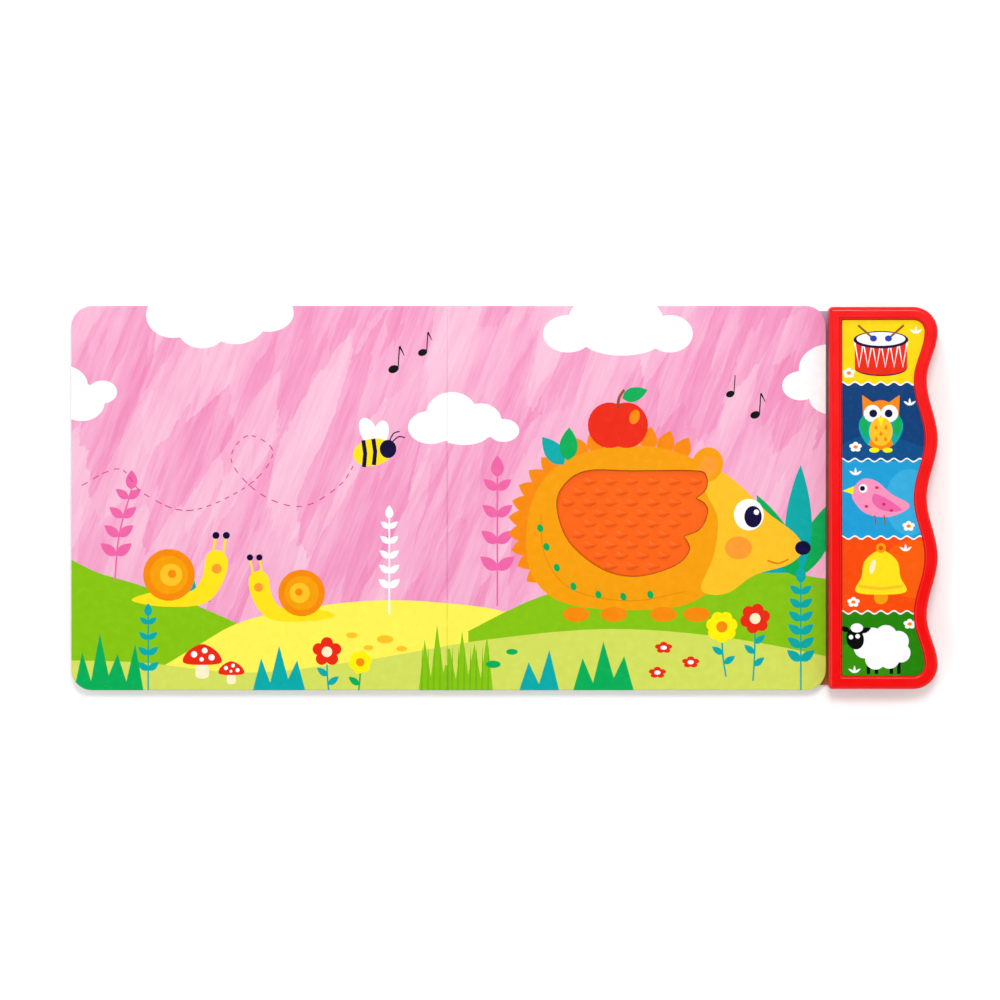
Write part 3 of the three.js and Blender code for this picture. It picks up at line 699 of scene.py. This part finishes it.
    # Notes
    art.note(-26, 62, 8.5)
    art.note(-12, 70, 7.5)
    art.note(148, 40, 8.0)
    art.note(136, 50, 7.0, False)
    # Flowers and foreground
    art.stem("teal", 132, -86, -68, 2, ((0.35, 35), (0.6, 145)))
    art.flower("yellow", 132, -62, 7.5, 7, "flower_orange")
    art.stem("teal", 148, -88, -64, -1, ((0.3, 40), (0.55, 140), (0.75, 40)))
    art.flower("print_red", 148, -58, 7.2, 6, "cream")
    art.sprig("teal", -144, -93, 36, 4, 6.5)
    art.tuft("green", -180, -94, 34, [20, 29, 19, 24])
    art.mushroom(-118, -86, 15)
    art.mushroom(-104, -89, 10)
    art.stem("teal", -58, -94, -80, 1, ((0.3, 38), (0.6, 142)))
    art.flower("print_red", -58, -74, 7.0, 5, "cream")
    art.stem("green", -42, -94, -84, -1, ((0.4, 142),))
    art.flower("yellow", -42, -79, 5.6, 6, "flower_orange")
    art.tuft("teal", -94, -94, 26, [17, 23, 16])
    art.tuft("lime", -14, -94, 36, [26, 33, 22, 30, 24, 28])
    for i in range(12):
        x = -12.4 + 2.9 * i
        art.band("lime_blade", [(x, -94), (x + 0.2, -78), (x + 0.4, -72)], 0.7, 0.2)
    art.tuft("green", 60, -94, 30, [17, 25, 18])
    art.tuft("teal", 34, -94, 20, [15, 21])
    art.sprig("teal", 170, -93, 52, 6, 8.5)
    for x, y in ((104, -72), (117, -79), (101, -84)):
        art.flower("print_red", x, y, 4.2, 5, "cloud", 0.66)
    for x, y, rx, ry in ((22, -80, 3.6, 1.8), (31, -74, 2.8, 1.4), (-30, -68, 4.0, 2.0),
                         (-22, -72.5, 2.6, 1.3), (-38, -72, 2.4, 1.2), (-46, -66, 2.8, 1.4)):
        art.oval("green" if x > 0 else "light_amber", x, y, rx, ry)
    return art.shapes


# Pages

def side_outline(side, reach, half, radius, gutter, steps=14):
    """One page from above, anticlockwise."""
    points = [(gutter, -half)]
    points += arc(reach - radius, radius - half, radius, -90, steps)
    points += arc(reach - radius, half - radius, radius, 0, steps)
    points.append((gutter, half))
    return points if side > 0 else [(-x, y) for x, y in points][::-1]


def leaf_edges():
    """How far the edges of both leaves stand out, and at what height, from the top down."""
    upper_foot = PAGE_TOP - LEAF_BOARD
    lower_top = upper_foot - LEAF_GAP
    lower_foot = lower_top - LEAF_BOARD
    full, eased = EDGE_ROUND, EDGE_ROUND - 0.12
    bend, lip = 0.25, 0.06
    return [(full, PAGE_TOP - EDGE_ROUND),
            (full, upper_foot + bend), (eased, upper_foot + lip), (0.0, upper_foot),
            (0.0, lower_top), (eased, lower_top - lip), (full, lower_top - bend),
            (full, lower_foot + bend), (eased, lower_foot + lip), (full - 0.3, lower_foot)]


def page_block(side, shapes, holes, name, body, node_name):
    """The leaves of one side: a printed face with rounded edges, and board at the edges."""
    gutter = CREASE_EDGE + CREASE_ROUND
    reach = (RIGHT_REACH if side > 0 else LEFT_REACH) - EDGE_ROUND
    half = PAGE_HALF - EDGE_ROUND
    radius = PAGE_CORNER - EDGE_ROUND
    outline = side_outline(side, reach, half, radius, gutter)
    points, triangles, keys = partition([outline], holes, shapes, "sky")
    mesh = Mesh()
    first = mesh.flat(points, triangles, keys, PAGE_TOP)

    def outward(p, grow, grow_in):
        """Moves a point of the face out by grow, or towards the gutter by grow_in."""
        x, y = abs(p[0]), p[1]
        if x > reach - radius and abs(y) > half - radius:
            cy = math.copysign(half - radius, y)
            ux, uy = x - (reach - radius), y - cy
            size = math.hypot(ux, uy) or 1.0
            x, y = x + grow * ux / size, y + grow * uy / size
        else:
            if abs(x - reach) < 1e-3:
                x += grow
            if abs(x - gutter) < 1e-3:
                x -= grow_in
            if abs(abs(y) - half) < 1e-3:
                y += math.copysign(grow, y)
        return math.copysign(x, side), y

    for loop in boundary(triangles, keys):
        base = [points[i] for i, _ in loop]
        edge_keys = [key for _, key in loop]
        start = [first + i for i, _ in loop]
        if span(base) < reach * half:
            # The window for the pad, cut through one leaf
            wall = mesh.ring(base, PAGE_TOP - LEAF_BOARD)
            mesh.skirt(start, wall, "board_edge")
            mesh.face(wall[::-1], "board_edge")
            continue
        above = start
        turns = 5
        for i in range(1, turns + 1):
            a = math.pi / 2 * i / turns
            ring = []
            for p in base:
                in_crease = abs(abs(p[0]) - gutter) < 1e-3
                depth = CREASE_DEPTH if in_crease else EDGE_ROUND
                x, y = outward(p, EDGE_ROUND * math.sin(a), CREASE_ROUND * i / turns)
                ring.append(mesh.vert(x, y, PAGE_TOP - depth * (1 - math.cos(a))))
            mesh.skirt(above, ring, edge_keys, True)
            above = ring
        # The edges start on vertices of their own, so that the roll keeps its own shading
        above = [mesh.vert(*mesh.verts[i]) for i in above]
        for grow, z in leaf_edges():
            ring = mesh.ring([outward(p, grow, gutter - LEAF_START) for p in base], z)
            mesh.skirt(above, ring, "board_edge")
            above = ring
        mesh.face(above[::-1], "board_edge")
    return mesh.make(name, body, [node_name])


window = min(cad_loops("pages_right", PAGE_TOP, True), key=span)
picture = garden()
page_block(-1, picture, [], "left_leaves", "front", "pages_left")
page_block(1, picture, [window], "right_leaves", "back", "pages_right")


# Covers

def outside_print():
    """A plain generic print for the outsides of the covers."""
    art = Print()
    for x, y, s in ((-120, 52, 1.0), (-40, 66, 0.8), (52, 60, 1.0), (130, 48, 0.8)):
        art.cloud((x - 14 * s, y, 10 * s, 8 * s), (x, y + 5 * s, 13 * s, 11 * s),
                  (x + 15 * s, y, 11 * s, 8 * s), (x, y - 3 * s, 18 * s, 6 * s))
    art.hill("lime", -120, [(-250, -50), (-150, -38), (-60, -52), (40, -40), (140, -50),
                            (250, -42)])
    art.hill("yellow_hill", -120, [(-250, -76), (-120, -66), (0, -76), (120, -64), (250, -76)])
    for x, key in ((-150, "print_red"), (-96, "cloud"), (-34, "print_red"), (40, "cloud"),
                   (92, "print_red"), (150, "cloud")):
        art.stem("teal", x, -84, -62, 1, ((0.35, 38), (0.6, 142)))
        art.flower(key, x, -56, 7.0, 6, "flower_orange")
    return art.shapes


def cover(name, body, node_name, shapes):
    """A cover board with its half of the spine, printed outside and lined inside."""
    mesh = Mesh()
    outside = cad_loops(node_name, 0.0, False)
    outline = max(outside, key=span)
    holes = [loop for loop in outside if loop is not outline]
    points, triangles, keys = partition([outline], holes, shapes, "sky")
    first = mesh.flat(points, triangles, keys, 0.0, False)
    for loop in boundary(triangles, keys):
        ring = [first + i for i, _ in loop]
        top = mesh.ring([points[i] for i, _ in loop], COVER_BOARD)
        mesh.skirt(top, ring, "board_edge")
    points, triangles, keys = partition([outline], holes, [], "lining")
    mesh.flat(points, triangles, keys, COVER_BOARD)
    side = 1 if max(x for x, _ in outline) > 100 else -1
    x0, x1 = sorted((SPINE_NEAR * side, SPINE_FAR * side))
    strip = [(x0, -PAGE_HALF), (x1, -PAGE_HALF), (x1, PAGE_HALF), (x0, PAGE_HALF)]
    low, high = mesh.ring(strip, COVER_BOARD), mesh.ring(strip, SPINE_TOP)
    mesh.skirt(high, low, "sky")
    mesh.face(high, "sky")
    return mesh.make(name, body, [node_name])


cover_art = outside_print()
cover("front_board", "front", "front_cover", cover_art)
cover("back_board", "back", "back_cover", cover_art)


# Touch pad

def inset_loop(loop, inset):
    """Moves an anticlockwise loop inwards along its corners' normals."""
    moved = []
    count = len(loop)
    for i in range(count):
        a, p, b = Vector(loop[i - 1]), Vector(loop[i]), Vector(loop[(i + 1) % count])
        u, v = (p - a).normalized(), (b - p).normalized()
        normal = Vector((-u.y - v.y, u.x + v.x))
        scale = max(0.5, normal.length_squared / 4)
        normal.normalize()
        moved.append(tuple(p + normal * inset / math.sqrt(scale)))
    return moved


def pad_drop(mesh, cx, cy, around=28, levels=8):
    """One drop with its point to the right, its tip leaning to the left."""
    lean, sunk = 0.5, 0.02
    for level in range(levels + 1):
        u = 1 - level / levels
        z = PAD_TOP - sunk + (DROP_RISE + sunk) * (1 - u ** 2.2) ** 1.15
        if u == 0:
            tip = mesh.vert(cx - lean, cy, z)
            for i in range(around):
                mesh.face((below[i], below[(i + 1) % around], tip), "pad_rubber", True)
            break
        ring = []
        for i in range(around):
            a = 2 * math.pi * i / around
            x = DROP_LENGTH / 2 * math.cos(a)
            y = DROP_WIDTH / 2 * DROP_FULLNESS * math.sin(a) * abs(math.sin(a / 2)) ** 0.9
            ring.append(mesh.vert(cx + x * u - lean * (1 - u), cy + y * u, z))
        if level:
            mesh.skirt(ring, below, "pad_rubber", True)
        below = ring


def touch_pad():
    grown, edge = 0.27, 0.5
    outline = inset_loop(cad_loops("touch_pad", PAD_BOTTOM, False)[0][::-1], -grown)
    mesh = Mesh()
    rings = [[inset_loop(outline, edge * (1 - math.sin(a))), PAD_TOP - edge * (1 - math.cos(a))]
             for a in (0.0, 0.4, 0.8, 1.2, math.pi / 2)]
    lower = mesh.stack([*rings, [outline, PAD_BOTTOM]], "pad_rubber")[-1]
    points, triangles, keys = partition([rings[0][0]], [], [], "pad_rubber")
    mesh.flat(points, triangles, keys, PAD_TOP)
    mesh.face(lower[::-1], "pad_rubber")
    # Drops, where the solid has them
    for crown in cad_loops("touch_pad", PAGE_TOP, True):
        xs, ys = [p[0] for p in crown], [p[1] for p in crown]
        pad_drop(mesh, (min(xs) + max(xs)) / 2, (min(ys) + max(ys)) / 2)
    return mesh.make("soft_pad", "back", ["touch_pad"])


touch_pad()


# Sound module

def wave_at(y):
    """The waved edge at y, from -1 in a hollow to 1 on a crest."""
    end = MODULE_HALF - MODULE_CORNER
    reach = min(abs(y), end)
    regular = 2 * WAVE_STEP
    if reach <= regular:
        return -math.cos(math.pi * reach / WAVE_STEP)
    return -math.cos(math.pi * (reach - regular) / (end - regular))


def module_outline(inset=0.0, samples=150):
    """The module from above, anticlockwise, with its waved right edge."""
    half = MODULE_HALF - inset
    left, right = MODULE_LEFT + inset, MODULE_RIGHT - inset
    radius = max(MODULE_CORNER - inset, 0.8)
    small = max(MODULE_SMALL_CORNER - inset, 0.8)
    end = half - radius
    points = arc(left + small, small - half, small, 180, 5)
    points += arc(right - radius, -end, radius, -90, 12)
    for i in range(1, samples):
        y = end * (2 * i / samples - 1)
        points.append((right - WAVE_DEPTH * (1 - wave_at(y)) / 2, y))
    points += arc(right - radius, end, radius, 0, 12)
    points += arc(left + small, half - small, small, 90, 5)
    return points


def rounded_rect(x, y, width, height, radius):
    points = []
    for sx, sy, start in ((1, 1, 0), (-1, 1, 90), (-1, -1, 180), (1, -1, 270)):
        points += arc(x + sx * (width / 2 - radius), y + sy * (height / 2 - radius), radius,
                      start, 5)
    return points


def shell():
    mesh = Mesh()
    outer, inner = 2.0, 1.1
    foot = 0.3
    over_card = COVER_BOARD + 0.3

    def foot_ring(inset):
        points = module_outline(inset)
        low = MODULE_LEFT + inset + 0.05
        return [mesh.vert(x, y, over_card if x < low else foot) for x, y in points]

    steps = 9
    turns = [math.pi / 2 * i / steps for i in range(steps + 1)]
    # From the flat of the rim into the window, and over the outer rounding to the foot
    inside = [[module_outline(RIM - inner * (1 - math.cos(a))),
               MODULE_TOP - inner * (1 - math.sin(a))] for a in reversed(turns)]
    inside = mesh.stack([*inside, [module_outline(RIM), BED_TOP]], "shell_red")
    outside = mesh.stack([[module_outline(outer * (1 - math.sin(a))),
                           MODULE_TOP - outer * (1 - math.cos(a))] for a in turns], "shell_red")
    mesh.skirt(inside[0], outside[0], "shell_red")
    low = foot_ring(0.0)
    mesh.skirt(outside[-1], low, "shell_red", True)
    inside_low = foot_ring(WALL)
    mesh.skirt(low, inside_low, "shell_red")
    mesh.skirt(inside_low, mesh.ring(module_outline(WALL), BED_UNDER), "shell_red")
    # Bed with a hole for each cap
    width, height, corner = 25.6, 20.6, 3.3
    holes = [rounded_rect(BUTTON_X, y, width, height, corner) for y in BUTTON_Y]
    for inset, z, up in ((RIM, BED_TOP, True), (WALL, BED_UNDER, False)):
        points, triangles, keys = partition([module_outline(inset)], holes, [], "shell_red")
        mesh.flat(points, triangles, keys, z, up)
    for hole in holes:
        mesh.stack([[hole[::-1], BED_TOP], [hole[::-1], BED_UNDER]], "shell_red", False)
    # Screw bosses and board posts: x, y, radius and foot
    pins = [(x, 80.0, 3.0, 4.5) for x in (MODULE_LEFT + 5.8, MODULE_RIGHT - 9.5)]
    pins += [(BUTTON_X + dx, y, 1.8, 9.3) for dx in (-10, 10) for y in (18.3, 53.4)]
    for x, y, radius, z in pins:
        for side in (1, -1):
            ring = oval(x, y * side, radius, radius, 0, 20)
            low = mesh.stack([[ring, BED_UNDER + 0.5], [ring, z]], "shell_red")[-1]
            mesh.face(low[::-1], "shell_red")
    return mesh.make("module_shell", "back", ["module_housing"])


shell()


# Label film

def divider(y):
    """The waved line across the film at y."""
    step, rise, pitch = 0.5, 0.75, 6.25
    count = int((MODULE_RIGHT + 1 - MODULE_LEFT) / step) + 1
    return [(MODULE_LEFT + step * i, y + rise * math.cos(2 * math.pi * step * i / pitch))
            for i in range(count)]


def label_print():
    art = Print()
    edges = [100.0, *ZONE_EDGES, -100.0]
    zones = ["zone_yellow", "zone_navy", "zone_blue", "zone_orange", "zone_green"]
    for key, high, low in zip(zones, edges, edges[1:]):
        art.add(key, divider(low) + divider(high)[::-1])
    cx = MODULE_LEFT + 25
    # Tone-on-tone rounds
    art.blob("navy_tone", [(186, 19), (196, 29), (210, 30), (224, 26), (235, 19)], 8)
    art.oval("blue_tone", 222, -2, 12, 16)
    art.oval("orange_tone", 224, -34, 15, 14)
    art.oval("green_tone", 196, -84, 22, 14)
    for y in ZONE_EDGES:
        art.add("cloud", divider(y + 0.35) + divider(y - 0.35)[::-1])
    # Drum
    art.origin = (cx, 70)
    reach, pitch = 12.6, 4.2
    art.oval("navy_black", 0, -7.6, reach, 3.9)
    art.add("print_red", [(-reach, -7.6), (reach, -7.6), (reach, 6), (-reach, 6)])
    art.oval("print_red", 0, -7.2, reach, 3.7)
    for i in range(6):
        u = pitch * i - reach
        art.band("cloud", [(u, 4.8), (u + pitch / 2, -7.2), (u + pitch, 4.8)], 0.8)
    art.oval("navy_black", 0, 6, reach + 0.6, 4.2)
    art.oval("cloud", 0, 6.4, reach - 0.8, 3.3)
    for side in (-1, 1):
        art.band("brown", [(side * 3.6, 6.5), (side * 11, 13)], 1.0)
        art.oval("label_blue", side * 3.6, 6.6, 1.7, 1.5)
    # Owl
    art.origin = (cx, 36)
    art.oval("flower_orange", 0, -1, 9.5, 12)
    for side in (-1, 1):
        art.add("flower_orange", [(side, 8), (side * 9, 13.5), (side * 8.6, 3)])
        art.add("teal", leaf(side * 8.2, 4, 15, 6.5, -90 - side * 8))
        art.add("green", leaf(side * 8.6, 3, 10, 4, -90 - side * 8))
        art.oval("cloud", side * 4.1, 4.6, 4.1)
        art.oval("navy_black", side * 3.7, 4.6, 1.9)
        art.oval("yellow", side * 3.2, -13, 2.4, 1.2)
    art.oval("light_amber", 0, -4, 5.6, 7)
    art.add("yellow", [(-1.6, 2.6), (0, -1.6), (1.6, 2.6)])
    for u, v in ((-2.4, -2), (2.4, -2), (0, -5), (-2.2, -7.6), (2.2, -7.6)):
        art.add("flower_orange", drop(u, v, 2.4, 1.6, 90))
    # Songbird
    art.origin = (cx, 0)
    art.blob("label_pink", [(-14, 3), (-9, 9), (-2, 8), (5, 2), (13, -2.4), (12.4, -5.6), (4, -9),
                            (-6, -8), (-12, -3)], 6)
    art.blob("pink_plant", [(-3, 2), (4, -1), (10, -6), (1, -6), (-4, -2)], 5)
    art.add("yellow", [(-18.5, 3.4), (-13, 5.6), (-13.4, 1.8)])
    art.oval("cloud", -8.6, 4.6, 2.1)
    art.oval("navy_black", -8.9, 4.6, 1.2)
    for u in (-3, 1.5):
        art.band("brown", [(u, -8.4), (u + 0.6, -13)], 0.6)
    for u, v in ((-2, 5), (1.4, -3), (5, -6), (-7, -4)):
        art.oval("deep_pink", u, v, 0.9, 0.7)
    # Bell
    art.origin = (cx, -37)
    art.oval("amber", 0, -10.6, 3.4)
    art.blob("soft_yellow", [(-12, -8), (-9.4, -1), (-7.6, 7), (0, 12), (7.6, 7), (9.4, -1),
                             (12, -8), (0, -9.4)], 7)
    art.band("light_amber", [(-10.6, -5.4), (0, -6.6), (10.6, -5.4)], 1.4)
    art.oval("amber", 0, 13, 2.4)
    art.oval("zone_orange", 0, 13, 1.1)
    art.oval("cream", -4, 4, 1.3, 3.4, -14)
    # Sheep
    art.origin = (cx, -72)
    for u in (-6, -2.2, 5, 8.6):
        art.band("black", [(u, -4), (u, -12.5)], 1.7)
    for puff in ((-8, 0, 5), (-4, 4.6, 5.2), (2.4, 5.6, 5.4), (8.4, 3.2, 5), (9.6, -2.4, 4.6),
                 (4, -5, 5), (-2.6, -5.4, 5), (0, 0, 8)):
        art.oval("cloud", *puff)
    art.oval("black", -12.4, 4.4, 4.2, 5.2, 14)
    art.add("black", leaf(-10, 7.6, 5.6, 2.6, 20))
    art.add("black", leaf(-15, 8.2, 5.2, 2.6, 160))
    art.oval("cloud", -11.2, 5.6, 1.1)
    art.oval("cloud", -14.4, 5.2, 1.1)
    art.oval("cloud", -11.6, 9.6, 3.0, 2.2)
    art.origin = (0, 0)
    # Small daisies and sprigs
    for x, y in ((192.8, 60), (196, 24.5), (221.5, -13.5), (195, -50), (222, -60.5)):
        art.flower("cloud", x, y, 3.0, 5, "flower_orange", 0.8)
    for x, y in ((225, 79), (222, 44.5), (196, 11), (220, -25.5), (195.5, -84)):
        for turn in (35, 90, 145):
            art.add("cloud", leaf(x, y, 3.6, 1.1, turn))
    return art.shapes


def label():
    mesh = Mesh()
    outline = module_outline(RIM + 0.3)
    points, triangles, keys = partition([outline], [], label_print(), "zone_yellow")
    first = mesh.flat(points, triangles, keys, FILM_TOP)
    for loop in boundary(triangles, keys):
        base = [points[i] for i, _ in loop]
        foot = mesh.ring(base, FILM_TOP - FILM)
        mesh.skirt([first + i for i, _ in loop], foot, "film_edge")
        mesh.face(foot[::-1], "film_edge")
    return mesh.make("label_film", "back", ["button_label"])


label()


# The other pieces keep their solids and get their own materials

SHEETS = {
    "module_base": MATERIALS["base_red"],
    "battery_door": MATERIALS["base_red"],
    "circuit_board": mottled("board_green", (44, 122, 63), 0.12, 500.0, 0.45, 0.4, 0.1),
    "chip_blob": plastic("chip_epoxy", (20, 20, 22), 0.35),
    "speaker_frame": metal("speaker_steel", (150, 154, 158), 0.35),
    "speaker_cone": plastic("cone_film", (232, 228, 216), 0.4),
    "voice_coil": metal("coil_copper", (190, 105, 50), 0.35, (0.05, 0.05, 1.0)),
    "speaker_magnet": metal("magnet", (118, 122, 128), 0.45),
    "speaker_wire_red": plastic("lead_red", (200, 32, 26), 0.45),
    "speaker_wire_black": plastic("lead_black", (27, 27, 29), 0.45),
}
caps = plastic("cap_plastic", (242, 240, 234), 0.35, 0.15)
domes = mottled("dome_rubber", (216, 216, 212), 0.04, 300.0, 0.6, 0.3, 0.15)
cell_steel = metal("cell_steel", (198, 201, 204), 0.22)
contact = metal("contact_metal", (212, 194, 122), 0.3)
screw_steel = metal("screw_steel", (186, 189, 193), 0.28)
GROUPS = (("button_cap", caps), ("contact_dome", domes), ("button_cell", cell_steel),
          ("contact_", contact), ("housing_screw", screw_steel), ("door_screw", screw_steel))
for name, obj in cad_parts.items():
    if obj.hide_render:
        continue
    found = SHEETS.get(name)
    if found is None:
        found = next(material for prefix, material in GROUPS if name.startswith(prefix))
    obj.data.materials.clear()
    obj.data.materials.append(found)


# Contact domes as pieces of their own

def soft_dome(number):
    """The dome's own solid as a piece of its own, riding with the back."""
    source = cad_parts[f"contact_dome_{number}"]
    mesh = source.data.copy()
    mesh.materials.clear()
    mesh.materials.append(domes)
    obj = bpy.data.objects.new(f"soft_dome_{number}", mesh)
    bpy.context.scene.collection.objects.link(obj)
    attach(obj, "back")
    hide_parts(source.name)
    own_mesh(obj)


for number in range(1, 6):
    soft_dome(number)


# Floor, light and camera

def stage():
    scene = bpy.context.scene
    floor_mesh = bpy.data.meshes.new("floor")
    reach = 6.0
    corners = [(x * reach, y * reach, 0) for x, y in ((-1, -1), (1, -1), (1, 1), (-1, 1))]
    floor_mesh.from_pydata(corners, [], [(0, 1, 2, 3)])
    floor = bpy.data.objects.new("floor", floor_mesh)
    scene.collection.objects.link(floor)
    floor_mesh.materials.append(mottled("floor_white", (286, 286, 286), 0.004, 8.0, 0.9, 0.0,
                                        0.0))
    floor.location.z = -0.0001

    world = bpy.data.worlds.new("studio")
    scene.world = world
    world.use_nodes = True
    # Even white all round, darker straight above, so that level faces mirror no light
    tree = world.node_tree
    split = node(tree, "SeparateXYZ", {"Vector": node(tree, "TexCoord").outputs["Generated"]})
    low, full, dark = (0.62, 0.62, 0.62, 1), (1, 1, 1, 1), (0.06, 0.06, 0.06, 1)
    shade = ramp(tree, split.outputs["Z"], [(0.0, low), (0.45, full), (0.78, full),
                                            (0.965, dark)])
    background = tree.nodes["Background"]
    tree.links.new(shade, background.inputs["Color"])
    background.inputs["Strength"].default_value = 1.25

    for name, place_at, size, energy in (("key_light", (0.12, 0.6, 1.7), 0.6, 15.5),
                                         ("low_light", (-0.5, 1.9, 0.75), 0.5, 16.0),
                                         ("fill_light", (-1.5, -0.5, 1.8), 1.2, 7.0)):
        data = bpy.data.lights.new(name, "AREA")
        data.shape = "DISK"
        data.size = size
        data.energy = energy
        lamp = bpy.data.objects.new(name, data)
        lamp.location = place_at
        lamp.rotation_euler = (-Vector(place_at)).to_track_quat("-Z", "Y").to_euler()
        scene.collection.objects.link(lamp)

    # The photograph was taken from far above the middle of the book
    lens, sensor, view_width = 300, 36, 0.4811
    camera_data = bpy.data.cameras.new("camera")
    camera_data.lens = lens
    camera_data.sensor_width = sensor
    camera_data.clip_end = 40
    camera = bpy.data.objects.new("camera", camera_data)
    camera.location = (-0.00199, -0.00096, PAGE_TOP * MM + view_width * lens / sensor)
    scene.collection.objects.link(camera)
    scene.camera = camera
    scene.view_settings.view_transform = "Standard"


stage()
